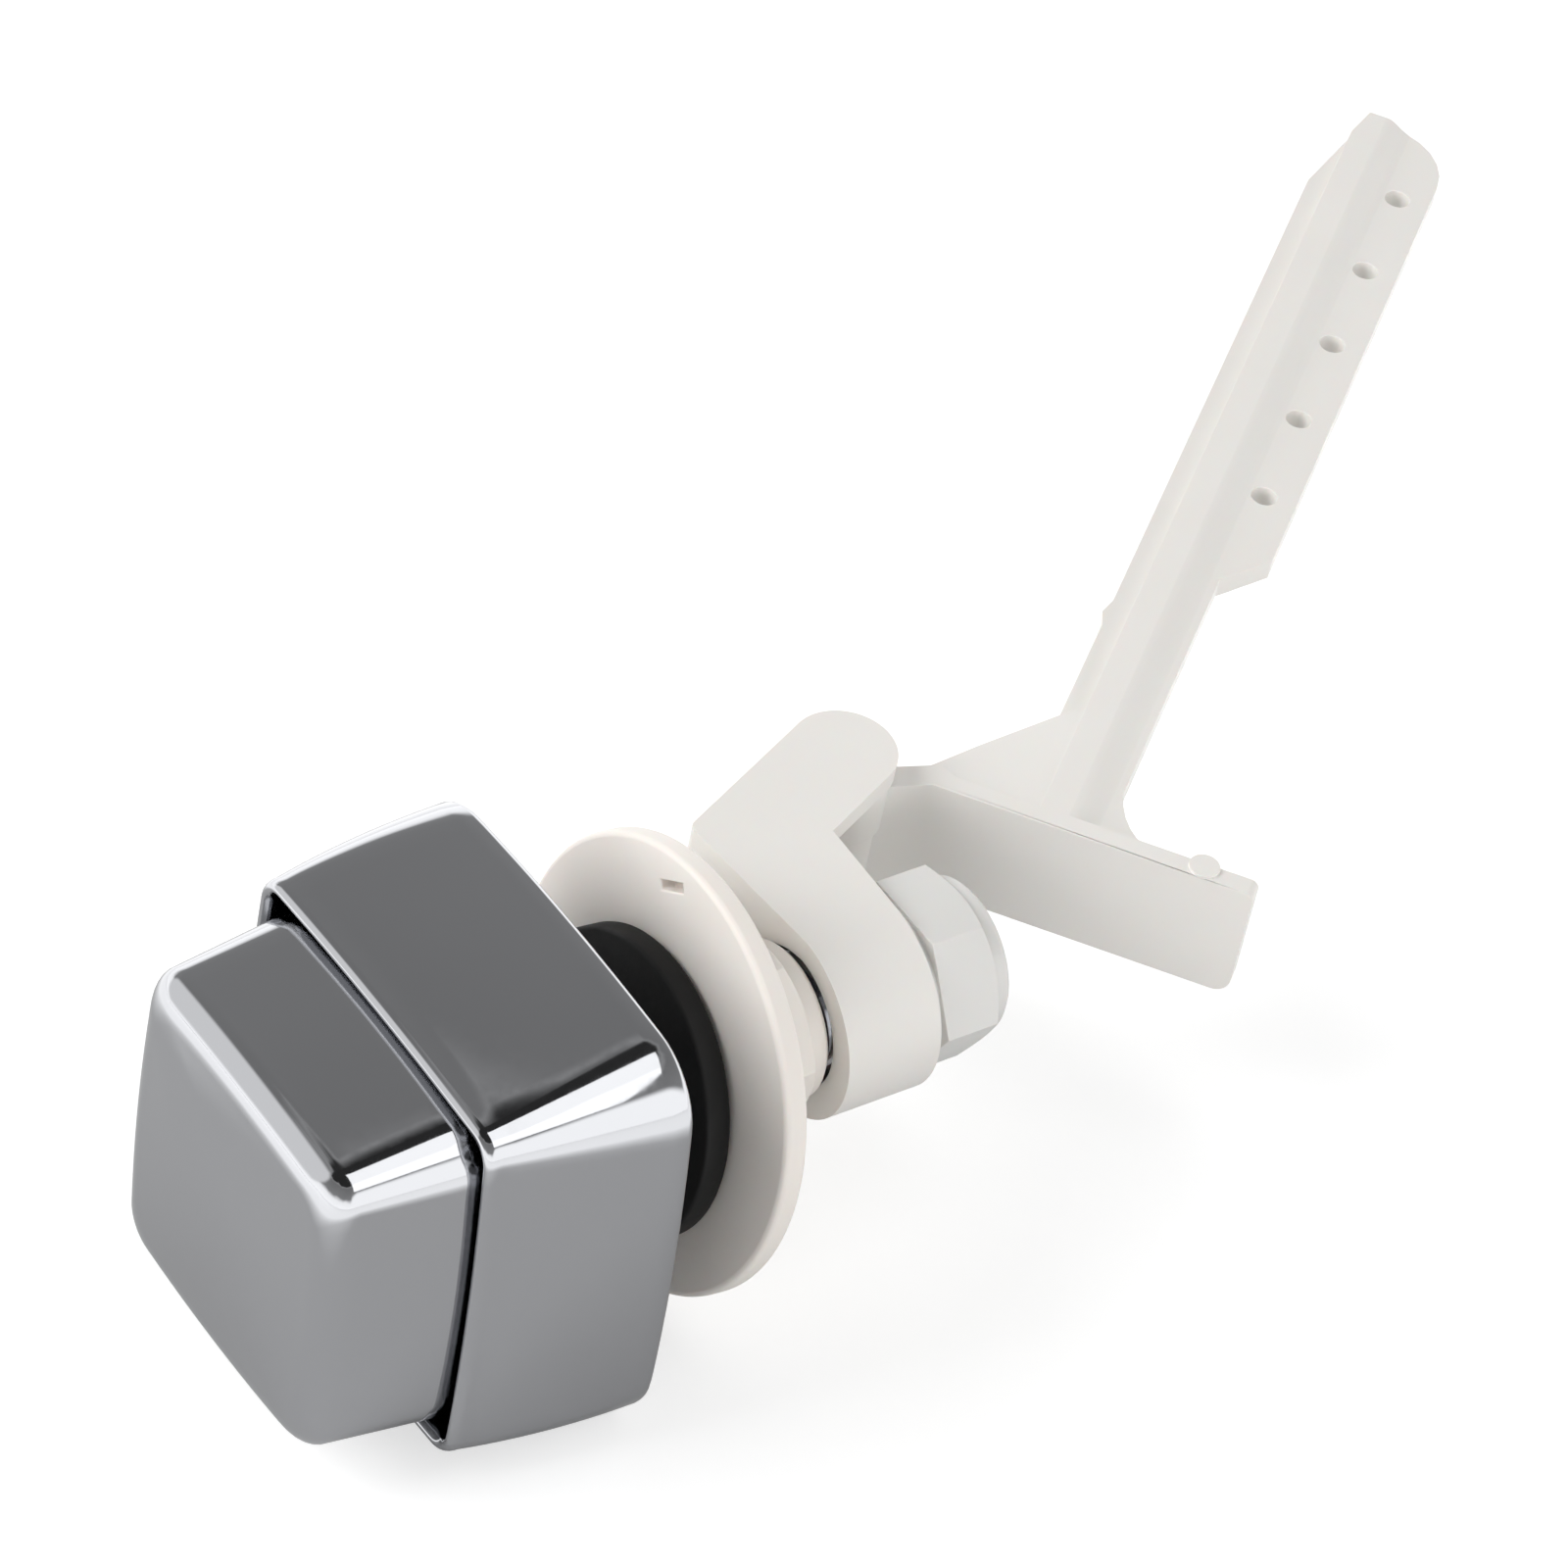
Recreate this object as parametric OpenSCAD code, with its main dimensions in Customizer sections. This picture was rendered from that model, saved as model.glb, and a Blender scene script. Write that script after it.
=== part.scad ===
// Cistern push button with a swinging flush lever.
// Y runs along the push axis into the cistern, Z up as the part lies on a bench.
// The origin is on the push axis at the rear face of the housing.

/* [Housing] */
// Width across the flats of the housing at its rear face
housing_w = 51.6; // [48:0.2:58]
// Width across the flats of the housing at its mouth
mouth_w = 46; // [45:0.2:50]
// Depth of the housing from mouth to rear face
housing_d = 22.5; // [18:0.5:30]
// Corner radius of the housing at its rear face
housing_corner_r = 8.3; // [5:0.1:10]
// Corner radius of the housing at its mouth
mouth_corner_r = 3.4; // [2.5:0.1:5]
// How far each side of the square bulges outwards
side_crown = 0.6; // [0.2:0.1:1]
// Wall thickness at the mouth
wall_t = 1.5; // [1.2:0.1:1.7]
// Thickness of the housing's rear wall
floor_t = 3; // [2:0.5:5]

/* [Button] */
// Width across the flats of the button's front face
button_w = 38; // [34:0.2:41]
// Width across the flats of the button where it enters the mouth
button_rear_w = 41.8; // [38:0.2:41.8]
// How far the button stands out of the mouth
button_proud = 15.5; // [12:0.1:20]
// Corner radius of the button at its front face
button_corner_r = 3.4; // [2:0.1:6]
// Corner radius of the button at the end of its skirt
skirt_corner_r = 5.5; // [4:0.5:8]
// Rounding of the edge round the front face
button_edge_r = 3.6; // [1:0.2:4]
// How far the middle of the front face stands proud
face_crown = 0.9; // [0.3:0.1:2]
// Wall thickness of the button
button_wall_t = 1.6; // [1.2:0.1:2.5]
// Travel of the button
travel = 8; // [4:0.5:8]

/* [Shank] */
// Outside radius of the threaded shank
shank_r = 7; // [6:0.25:8]
// Length of the shank behind the housing
shank_l = 49.4; // [44:0.2:60]
// Pitch of the shank's thread
thread_pitch = 1.5; // [1:0.25:2]
// Radius of the push rod
rod_r = 3.5; // [2.5:0.25:4]
// Running clearance of the rod in its bush and guide
rod_fit = 0.05; // [0.02:0.01:0.1]

/* [Clamping stack] */
// Lean of the loose gasket and washer on the shank
stack_lean = 8; // [0:0.5:8]
// Distance from the housing's rear face to the front of the gasket
gasket_y = 8.6; // [7:0.1:8.8]
// Outside radius of the gasket
gasket_r = 16.6; // [14:0.1:20]
// Thickness of the gasket
gasket_t = 3; // [2:0.1:3.6]
// Drop of the loose gasket below the shank's axis
gasket_drop = 1.2; // [0:0.1:1.2]
// Distance from the housing's rear face to the front of the flange washer
washer_y = 12.45; // [12.4:0.05:13]
// Outside radius of the flange washer
washer_r = 24.5; // [20:0.5:26]
// Thickness of the flange washer
washer_t = 2.8; // [2:0.1:3.2]
// Distance from the housing's rear face to the front of the lock nut
lock_nut_y = 18.3; // [18:0.1:18.6]
// Width across the flats of the lock nut
lock_nut_af = 19.6; // [19:0.1:22]

/* [Bracket] */
// Turn of the bracket about the shank, as clamped
bracket_turn = 3.2; // [-10:0.2:10]
// Distance from the housing's rear face to the front of the bracket
bracket_y = 30.2; // [28:0.2:34]
// Length of the bracket's ring along the shank
ring_l = 11.5; // [10:0.5:13]
// Outside radius of the ring
ring_r = 11.2; // [11:0.1:11.6]
// Thickness of each ear
ear_t = 2.5; // [2:0.1:2.7]
// Radius of the round end of each ear
ear_r = 5.85; // [5:0.25:7]
// Pivot's distance to the left of the shank's axis
pivot_x = 22.6; // [20:0.2:26]
// Pivot's distance behind the housing's rear face
pivot_y = 49.5; // [48:0.5:54]
// Width across the flats of the rear nut
rear_nut_af = 18.5; // [18:0.1:19.4]
// Length of the hexagon of both nuts
nut_hex_l = 7.1; // [6:0.1:7.4]

/* [Lever] */
// Angle of the paddle from the X axis at rest
lever_angle = 39; // [20:1:45]
// Height of the hub and the paddle
paddle_h = 14.9; // [10:0.1:15]
// Thickness of the paddle
paddle_t = 2.4; // [2:0.1:3]
// Distance from the pivot to the paddle's free end
paddle_reach = 45.9; // [38:0.1:52]
// Length of the arm from the pivot to its tip
arm_l = 136.6; // [132:0.2:160]
// Distance from the pivot to the first chain hole
first_hole = 65.6; // [61:0.1:66]
// Distance between neighbouring chain holes
hole_pitch = 14.6; // [12:0.1:15]
// Radius of a chain hole
hole_r = 1.5; // [1:0.1:2]
// Thickness of the arm's flange
flange_t = 2.7; // [2:0.1:3]
// Height of the rib above the flange
rib_h = 1.2; // [0.8:0.1:2]
// Radius of the pivot pin
pin_r = 2; // [1.5:0.25:2.5]
// Running clearance of the pin in the lever's hub
pin_fit = 0.05; // [0.02:0.01:0.1]

/* [Hidden] */

chrome = [0.62, 0.63, 0.65];
steel = [0.7, 0.71, 0.73];
black_rubber = [0.09, 0.09, 0.09];
ivory = [0.88, 0.86, 0.82];
white = [0.9, 0.9, 0.88];
grey_plastic = [0.35, 0.35, 0.36];

// Points on one side and on one corner of a crowned square, and sides of a round cut
side_steps = 8;
corner_steps = 6;
round_fn = 64;
hull_fn = 32;
eps = 0.01;

// Housing and button
rim_r = wall_t / 2;
cavity_corner_r = 2.4;
cavity_draft = 0.2;
rear_edge_r = 0.8;
flare_bow = 0.45;
front_y = -housing_d - button_proud;
skirt_gap = 1.6;
skirt_y = -floor_t - travel - skirt_gap;
face_t = 2.2;
ceiling_y = front_y + face_t;
bush_flange_t = 1.4;
bush_flange_r = 8.6;
bush_l = 11;
bush_r = 5.2;
rod_bore_r = rod_r + rod_fit;
rod_boss_r = 5.4;
rod_boss_l = 9;
rod_start_y = ceiling_y + 1;
clip_gap = 0.3;
clip_t = 1;
clip_r = 6;
clip_groove_r = rod_r - 0.7;
clip_y = shank_l + clip_gap;
rod_tail = 2.6;
rod_end_y = clip_y + clip_t + rod_tail;
rod_nose_r = 1;
spring_wire_r = 0.6;
spring_r = 6.9;
spring_turns = 8;
spring_steps = 20;
spring_sides = 8;
spring_y0 = ceiling_y + spring_wire_r;
spring_y1 = -floor_t - bush_flange_t - spring_wire_r;

// Shank and clamping stack
thread_h = 0.6;
thread_flat = 1 / 16;
neck_l = 5;
shank_chamfer = 0.9;
gasket_bore_r = shank_r + gasket_drop + 0.4;
gasket_edge = 0.5;
washer_bore_r = shank_r + 0.4;
washer_edge_r = 0.4;
nut_shoulder_l = 1.4;
nut_shoulder_r = 8.9;
lock_collar_l = 2.8;
rear_collar_l = 2.2;
nut_collar_r = 8.7;
nut_collar_edge = 0.7;
nut_chamfer = 0.15;
lock_nut_angle = 15;
slot_w = 3.8;
slot_h = 1.1;
slot_depth = 1.8;
slot_place = [-4.1, -20.6];
slot_turn = -32;

// Bracket
bracket_bore_r = shank_r + 0.15;
recess_r = 8;
recess_d = 6;
ring_end_y = bracket_y + ring_l;
ring_drop = 0.5;
bracket_top = ring_r - ring_drop;
corner_x = -19.9;
corner_lead = 2.1;
corner_y = bracket_y - corner_lead;
corner_r = 1.2;
ear_low = bracket_top - ear_t;
ear_gap = 0.4;
lower_ear_top = ear_low - paddle_h - 2 * ear_gap;
lower_ear_low = lower_ear_top - ear_t;
pocket_w = 6.6;
pocket_wall = 2.4;
ear_root_x = -12.7;
rear_nut_angle = 3.2;

// Lever, in its own frame: pivot at the origin, paddle along X, arm along Y
lever_top = ear_low - ear_gap;
lever_low = lever_top - paddle_h;
hub_r = 5.6;
hub_step = 6.3;
hub_low_r = 5.2;
paddle_front = 2.3;
paddle_back = paddle_front + paddle_t;
paddle_start = 9.7;
paddle_low_r = 2;
paddle_top_r = 1;
neck_t = 3.1;
neck_angle = 32;
neck_x = 1;
neck_y = -3.1;
neck_swell = 1;
web_t = 2;
web_top = lever_top - 0.3;
web_start = [7.9, 4.4];
web_bend = [12.4, 10.8];
web_end = [20.2, 21.2];
sink = 0.5;
arm_left = 18.8;
arm_right = 28.6;
fillet_x = 6;
fillet_y = 7.3;
fillet_pull = 1.4;
fillet_steps = 6;
rib_left = 21.2;
rib_right = 24.4;
rib_foot = 27.7;
rib_steps = 6;
flange_right = 33.1;
flange_top = lever_top - rib_h;
flange_low = flange_top - flange_t;
flange_start = 49.9;
flange_full = 55.7;
hole_x = 29.35;
hole_count = 5;
nub_y = 38.6;
nub_h = 0.6;
nub_l = 2.2;
tip_r = 8;
tip_left = 22.3;
tip_cut_l = 14.4;
pip_r = 1.7;
pip_h = 0.3;
pip_x = 39.8;
gusset_t = 2;
gusset_l = 26;
gusset_end = 108;
gusset_foot = 1.5;
pin_head_r = 3.4;
pin_head_t = 1.2;
pin_head_edge = 0.5;
pin_inset = 0.9;
pin_top = bracket_top - pin_inset;

// Corner centre of a crowned square of half width h: corner arc r, side arc big
function corner_c(h, r, big) =
    let (k = big - h)
    (-k + sqrt(2 * (big - r) * (big - r) - k * k)) / 2;

// One quarter of the outline: half a side, a corner and half the next side, turned by a
function quarter(h, r, crown, a) =
    let (run = h - r,
        big = (run * run + crown * crown) / (2 * crown),
        c = corner_c(h, r, big),
        phi = atan2(c, c + big - h))
    [for (i = [0:corner_steps + side_steps - 1])
        let (corner = i <= corner_steps,
            b = corner
                ? phi + (90 - 2 * phi) * i / corner_steps
                : 90 - phi + 2 * phi * (i - corner_steps) / side_steps,
            p = corner
                ? [c + r * cos(b), c + r * sin(b)]
                : [big * cos(b), big * sin(b) - (big - h)])
        [p[0] * cos(a) - p[1] * sin(a), p[0] * sin(a) + p[1] * cos(a)]];

// A ring of points round a crowned square in the plane at y
function crowned_ring(y, h, r, crown) =
    [for (q = [0:3]) each [for (p = quarter(h, r, crown, 90 * q)) [p[0], y, p[1]]]];

function lerp(a, b, t) = a + (b - a) * t;

// A closed solid through a list of rings with equal numbers of points
module loft(rings) {
    n = len(rings[0]);
    last = len(rings) - 1;
    polyhedron(
        points = [for (ring = rings) each ring],
        faces = concat(
            [[for (i = [0:n - 1]) i]],
            [for (k = [0:last - 1], i = [0:n - 1])
                each [[k * n + i, (k + 1) * n + i, (k + 1) * n + (i + 1) % n],
                    [k * n + i, (k + 1) * n + (i + 1) % n, k * n + (i + 1) % n]]],
            [[for (i = [n - 1:-1:0]) last * n + i]]),
        convexity = 6);
}

// A cylinder or cone along Y
module y_rod(y0, y1, r, r_end = -1) {
    translate([0, y0, 0])
        rotate([-90, 0, 0])
            cylinder(h = y1 - y0, r1 = r, r2 = r_end < 0 ? r : r_end, $fn = round_fn);
}

// A turned solid along Y with a softened outer edge at its rear
module collar(y0, y1, r, edge) {
    rotate([-90, 0, 0])
        rotate_extrude($fn = round_fn)
            polygon([[0, y0], [r, y0], [r, y1 - edge], [r - edge, y1], [0, y1]]);
}

// A hexagonal nut along Y with a round shoulder at its front and a round collar at its rear
module collar_nut(y0, af, turn, collar_l) {
    corner = af / sqrt(3);
    inner = af / 2 - nut_chamfer;
    outer = corner + nut_chamfer;
    slope = tan(30);
    rise = (outer - inner) * slope;
    hex_y0 = y0 + nut_shoulder_l;
    hex_y1 = hex_y0 + nut_hex_l;
    end_y = hex_y1 + collar_l;
    difference() {
        union() {
            y_rod(y0, hex_y0 + 1, nut_shoulder_r);
            intersection() {
                translate([0, hex_y0, 0])
                    rotate([-90, 0, 0])
                        rotate([0, 0, -turn])
                            cylinder(h = nut_hex_l, r = corner, $fn = 6);
                rotate([-90, 0, 0])
                    rotate_extrude($fn = round_fn)
                        polygon([[0, hex_y0 - 1], [outer, hex_y0 - 1], [outer, hex_y1 - rise],
                            [inner - 1, hex_y1 + slope], [0, hex_y1 + slope]]);
            }
            collar(hex_y1 - 1, end_y, nut_collar_r, nut_collar_edge);
        }
        y_rod(y0 - 1, end_y + 1, shank_r);
    }
}

// The bracket, rear nut, lever and pin turn together about the shank
module on_bracket() {
    rotate([0, bracket_turn, 0])
        children();
}

// From the lever's own frame to the bracket's
module at_pivot() {
    translate([-pivot_x, pivot_y, 0])
        rotate([0, 0, lever_angle])
            children();
}

// Push button: a chromed square cap with a crowned face, a long skirt and a boss for the rod
module push_button() {
    half = button_w / 2;
    along = function (y) min((y - front_y) / button_proud, 1);
    side = function (y, inset) lerp(half, button_rear_w / 2, along(y)) - inset;
    corner = function (y, inset) max(lerp(button_corner_r, skirt_corner_r, along(y)) - inset, 1);
    ring = function (y, inset) crowned_ring(y, side(y, inset), corner(y, inset), side_crown);
    edge_y = front_y + button_edge_r;
    face = half - button_edge_r;
    face_corner = function (s) face * s * lerp(0.9, button_corner_r / face, s * s);
    face_side = function (s) side_crown * pow((face * s - face_corner(s)) / (face - button_corner_r), 2);
    color(chrome) {
        loft(concat(
            [for (y = [ceiling_y, -housing_d, skirt_y]) ring(y, button_wall_t)],
            [ring(skirt_y, 0)],
            [for (i = [0:2]) ring(lerp(-housing_d, edge_y, i / 3), 0)],
            [for (i = [0:4])
                let (a = 90 * i / 4)
                crowned_ring(edge_y - button_edge_r * sin(a) * 0.999,
                    side(edge_y, button_edge_r * (1 - cos(a))), corner(edge_y, 0), side_crown)],
            [for (i = [1:4])
                let (s = 1 - i / 5)
                crowned_ring(front_y - face_crown * (1 - s * s), face * s, face_corner(s), face_side(s))]));
        difference() {
            y_rod(ceiling_y - 0.6, ceiling_y + rod_boss_l, rod_boss_r);
            y_rod(rod_start_y, ceiling_y + rod_boss_l + 1, rod_r);
        }
    }
}

// Push rod: a round rod pressed into the button, with a groove for the clip and a rounded nose
module push_rod() {
    groove_end = clip_y + clip_t;
    nose_y = rod_end_y - rod_nose_r;
    color(steel)
        rotate([-90, 0, 0])
            rotate_extrude($fn = round_fn)
                polygon(concat(
                    [[0, rod_start_y], [rod_r, rod_start_y], [rod_r, clip_y],
                        [clip_groove_r, clip_y], [clip_groove_r, groove_end], [rod_r, groove_end]],
                    [for (a = [0:15:90])
                        [rod_r - rod_nose_r * (1 - cos(a)), nose_y + rod_nose_r * sin(a)]],
                    [[0, rod_end_y]]));
}

// Rod clip: an open spring clip that holds the rod against the end of the shank
module rod_clip() {
    color(steel)
        difference() {
            y_rod(clip_y, clip_y + clip_t, clip_r);
            y_rod(clip_y - 1, clip_y + clip_t + 1, clip_groove_r);
            translate([-clip_groove_r * 0.8, clip_y - 1, -clip_r - 1])
                cube([clip_groove_r * 1.6, clip_t + 2, clip_r + 1]);
        }
}

// Return spring: a coil round the rod, swept along a helix
module return_spring() {
    n = spring_turns * spring_steps;
    ring = function (k)
        let (a = 360 * k / spring_steps, y = lerp(spring_y0, spring_y1, k / n))
        [for (j = [0:spring_sides - 1])
            let (b = -360 * j / spring_sides, r = spring_r + spring_wire_r * cos(b))
            [r * cos(a), y + spring_wire_r * sin(b), r * sin(a)]];
    color(steel)
        loft([for (k = [0:n]) ring(k)]);
}

// Housing: a chromed square sleeve that flares to the rear, with a hollow threaded shank
module housing() {
    mouth = mouth_w / 2;
    rear = housing_w / 2;
    // The flare eases off towards the rear, so each side is bowed from front to back
    side = function (t) lerp(mouth, rear, t + flare_bow * t * (1 - t));
    corner = function (t) lerp(mouth_corner_r, housing_corner_r, t);
    cavity = mouth - wall_t;
    floor_y = -floor_t;
    lip_y = rim_r - housing_d;
    wall_steps = 6;
    color(chrome)
        difference() {
            union() {
                loft(concat(
                    [crowned_ring(0, rear - rear_edge_r, housing_corner_r - rear_edge_r, side_crown)],
                    [for (i = [0:wall_steps])
                        let (t = 1 - i / wall_steps)
                        crowned_ring(lerp(lip_y, -rear_edge_r, t), side(t), corner(t), side_crown)],
                    [for (a = [150:-30:30])
                        crowned_ring(lip_y - rim_r * sin(a), cavity + rim_r * (1 - cos(a)),
                            lerp(cavity_corner_r, mouth_corner_r, a / 180), side_crown)],
                    [for (t = [1, 0])
                        crowned_ring(lerp(floor_y, lip_y, t), cavity - cavity_draft * (1 - t),
                            cavity_corner_r, side_crown)]));
                shank();
            }
            y_rod(floor_y - 1, shank_l + 1, rod_bore_r);
            y_rod(floor_y - 1, bush_l - floor_t, bush_r);
        }
}

// Shank: a neck, a run of thread crests and a chamfered end, all one turned profile
module shank() {
    first = neck_l + thread_h;
    crests = floor((shank_l - shank_chamfer - first) / thread_pitch);
    root_r = shank_r - thread_h;
    rotate([-90, 0, 0])
        rotate_extrude($fn = round_fn)
            polygon(concat(
                [[0, -1], [shank_r, -1], [shank_r, neck_l], [root_r, first]],
                [for (i = [0:crests - 1], p = [[0.5 - thread_flat, 1], [0.5 + thread_flat, 1], [1, 0]])
                    [root_r + thread_h * p[1], first + thread_pitch * (i + p[0])]],
                [[root_r, shank_l], [0, shank_l]]));
}

// Guide bush: a flanged plastic bush that guides the rod and seats the spring
module guide_bush() {
    color(grey_plastic)
        difference() {
            union() {
                y_rod(-floor_t - bush_flange_t, -floor_t, bush_flange_r);
                y_rod(-floor_t - eps, bush_l - floor_t, bush_r);
            }
            y_rod(-floor_t - bush_flange_t - 1, bush_l, rod_bore_r);
        }
}

// The loose gasket and washer lean back on the shank
module leaning(y, z) {
    translate([0, y, z])
        rotate([-90 - stack_lean, 0, 0])
            children();
}

// Rubber gasket: a flat ring with softened edges
module rubber_gasket() {
    color(black_rubber)
        leaning(gasket_y, -gasket_drop)
            rotate_extrude($fn = round_fn)
                polygon([[gasket_bore_r, 0], [gasket_r - gasket_edge, 0],
                    [gasket_r, gasket_edge], [gasket_r, gasket_t - gasket_edge],
                    [gasket_r - gasket_edge, gasket_t], [gasket_bore_r, gasket_t]]);
}

// Flange washer: a wide flat disc with a small slot near its rim
module flange_washer() {
    color(ivory)
        leaning(washer_y, 0)
            difference() {
                rotate_extrude($fn = 2 * round_fn)
                    polygon([[washer_bore_r, 0], [washer_r - washer_edge_r, 0],
                        [washer_r, washer_edge_r], [washer_r, washer_t - washer_edge_r],
                        [washer_r - washer_edge_r, washer_t], [washer_bore_r, washer_t]]);
                translate(slot_place)
                    rotate([0, 0, slot_turn])
                        translate([-slot_w / 2, -slot_h / 2, -1])
                            cube([slot_w, slot_h, slot_depth + 1]);
            }
}

// Lock nut: moulded like the rear nut, and a little larger
module lock_nut() {
    color(ivory)
        collar_nut(lock_nut_y, lock_nut_af, lock_nut_angle, lock_collar_l);
}

// Outline of an ear and its root on the column, seen from above
module ear_outline() {
    hull() {
        translate([corner_x + corner_r, corner_y + corner_r])
            circle(corner_r, $fn = hull_fn);
        translate([-pivot_x, pivot_y])
            circle(ear_r, $fn = round_fn);
        translate([ear_root_x - 1, bracket_y])
            square([1, ring_l]);
    }
}

// Outline of the column beside the ring, with a slanted front
module column_outline() {
    hull() {
        translate([corner_x + corner_r, corner_y + corner_r])
            circle(corner_r, $fn = hull_fn);
        translate([corner_x, ring_end_y - 1])
            square(1);
        translate([-1, bracket_y])
            square([1, ring_l]);
    }
}

// Bracket: a ring clamped on the shank, a cored column at its side and two ears for the pivot
module bracket() {
    color(white)
        on_bracket()
            difference() {
                union() {
                    translate([0, 0, -ring_drop])
                        y_rod(bracket_y, ring_end_y, ring_r);
                    translate([0, 0, lower_ear_low])
                        linear_extrude(bracket_top - lower_ear_low)
                            column_outline();
                    for (z = [ear_low, lower_ear_low])
                        translate([0, 0, z])
                            linear_extrude(ear_t)
                                ear_outline();
                }
                y_rod(corner_y - 1, ring_end_y + 1, bracket_bore_r);
                y_rod(corner_y - 1, bracket_y + recess_d, recess_r);
                translate([corner_x - 1, bracket_y + pocket_wall, lower_ear_top])
                    cube([pocket_w + 1, ring_l - 2 * pocket_wall, ear_low - lower_ear_top]);
                translate([-pivot_x, pivot_y, lower_ear_low - 1])
                    cylinder(h = pin_top - lower_ear_low + 1, r = pin_r, $fn = round_fn);
            }
}

// Rear nut: holds the bracket on the end of the shank
module rear_nut() {
    color(white)
        on_bracket()
            collar_nut(ring_end_y, rear_nut_af, rear_nut_angle, rear_collar_l);
}

// Plan of the arm, wide where the chain holes are, with a round and a slanted corner at the tip
module arm_outline() {
    // The fillet to the paddle is a curve between two points, pulled into the corner
    foot = [arm_right + fillet_x, paddle_back - eps];
    pull = [arm_right + fillet_pull, paddle_back + fillet_pull];
    head = [arm_right, paddle_back + fillet_y];
    polygon(concat(
        [[arm_left, paddle_back - sink], [arm_right + fillet_x, paddle_back - sink]],
        [for (i = [0:fillet_steps])
            let (t = i / fillet_steps)
            lerp(lerp(foot, pull, t), lerp(pull, head, t), t)],
        [[arm_right, flange_start], [flange_right, flange_full]],
        [for (a = [0:15:90])
            [flange_right - tip_r * (1 - cos(a)), arm_l - tip_r * (1 - sin(a))]],
        [[tip_left, arm_l], [arm_left, arm_l - tip_cut_l],
            [arm_left, nub_y + nub_l], [arm_left - nub_h, nub_y], [arm_left, nub_y - nub_l]]));
}

// Section across the arm: a flat flange and a rib that eases down to it on the right
module arm_section() {
    left = arm_left - nub_h - 1;
    right = arm_right + fillet_x + 1;
    polygon(concat(
        [[right, flange_low], [left, flange_low], [left, flange_top], [rib_left, flange_top],
            [rib_left, lever_top]],
        [for (i = [0:rib_steps])
            let (t = i / rib_steps)
            [lerp(rib_right, rib_foot, t), flange_top + rib_h * (1 + cos(180 * t)) / 2]],
        [[right, flange_top]]));
}

// Arm: the section run along the arm and cut to its plan
module arm() {
    intersection() {
        translate([0, arm_l + 1, 0])
            rotate([90, 0, 0])
                linear_extrude(arm_l)
                    arm_section();
        translate([0, 0, flange_low - 1])
            linear_extrude(lever_top - flange_low + 2)
                arm_outline();
    }
}

// Plan of the upright wall: a neck from the hub and the straight paddle
module wall_outline() {
    polygon([[neck_x, neck_y], [paddle_start, paddle_front], [paddle_reach, paddle_front],
        [paddle_reach, paddle_back], [paddle_start + 2 * neck_swell, paddle_back],
        [paddle_start, paddle_back + neck_swell],
        [neck_x - neck_t * sin(neck_angle), neck_y + neck_t * cos(neck_angle)]]);
}

// Plan of the web that fills the corner between neck, paddle and arm
module web_outline() {
    inner = rib_left + sink;
    polygon([web_start, web_bend, web_end, [inner, web_end[1]], [inner, paddle_back - sink],
        [paddle_start, paddle_back - sink]]);
}

// Corner cut from the paddle's free end, at height z, to leave it round; side is 1 below and -1 above
module paddle_corner(z, r, side) {
    translate([paddle_reach - r, paddle_back + 1, z])
        rotate([90, 0, 0])
            linear_extrude(paddle_t + 2)
                difference() {
                    translate([0, side < 0 ? -r : -1])
                        square(r + 1);
                    translate([0, side * r])
                        circle(r, $fn = hull_fn);
                }
}

// Lever: hub, neck, paddle, web and perforated arm in one moulding
module lever() {
    color(white)
        on_bracket()
            at_pivot()
                difference() {
                    union() {
                        translate([0, 0, lever_top - hub_step])
                            cylinder(h = hub_step, r = hub_r, $fn = round_fn);
                        translate([0, 0, lever_low])
                            cylinder(h = paddle_h - hub_step + 1, r = hub_low_r, $fn = round_fn);
                        translate([0, 0, lever_low])
                            linear_extrude(paddle_h)
                                wall_outline();
                        translate([0, 0, web_top - web_t])
                            linear_extrude(web_t)
                                web_outline();
                        arm();
                        gusset();
                        translate([pip_x, paddle_front + pip_r + eps, lever_low])
                            cylinder(h = paddle_h + pip_h, r = pip_r, $fn = hull_fn);
                    }
                    paddle_corner(lever_low, paddle_low_r, 1);
                    paddle_corner(lever_top, paddle_top_r, -1);
                    translate([0, 0, lever_low - 1])
                        cylinder(h = paddle_h + 2, r = pin_r + pin_fit, $fn = round_fn);
                    for (i = [0:hole_count - 1])
                        translate([hole_x, first_hole + i * hole_pitch, flange_low - 1])
                            cylinder(h = flange_t + 2, r = hole_r, $fn = round_fn);
                }
}

// Gusset: a thin fin under the arm that ties it to the paddle
module gusset() {
    translate([(rib_left + rib_right) / 2 - gusset_t / 2, paddle_back - sink, 0])
        rotate([90, 0, 90])
            linear_extrude(gusset_t)
                polygon([[0, lever_low + gusset_foot], [gusset_foot, lever_low + gusset_foot],
                    [gusset_l, flange_low - 1], [gusset_end, flange_low - 1],
                    [gusset_end, flange_low + sink], [0, flange_low + sink]]);
}

// Pivot pin: pushed in from below, headed at its lower end
module pivot_pin() {
    color(steel)
        on_bracket()
            translate([-pivot_x, pivot_y, 0])
                rotate_extrude($fn = round_fn)
                    polygon([[0, lower_ear_low - pin_head_t],
                        [pin_head_r - pin_head_edge, lower_ear_low - pin_head_t],
                        [pin_head_r, lower_ear_low - pin_head_t + pin_head_edge],
                        [pin_head_r, lower_ear_low],
                        [pin_r, lower_ear_low], [pin_r, pin_top], [0, pin_top]]);
}

push_button();
push_rod();
rod_clip();
return_spring();
housing();
guide_bush();
rubber_gasket();
flange_washer();
lock_nut();
bracket();
rear_nut();
lever();
pivot_pin();
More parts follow.
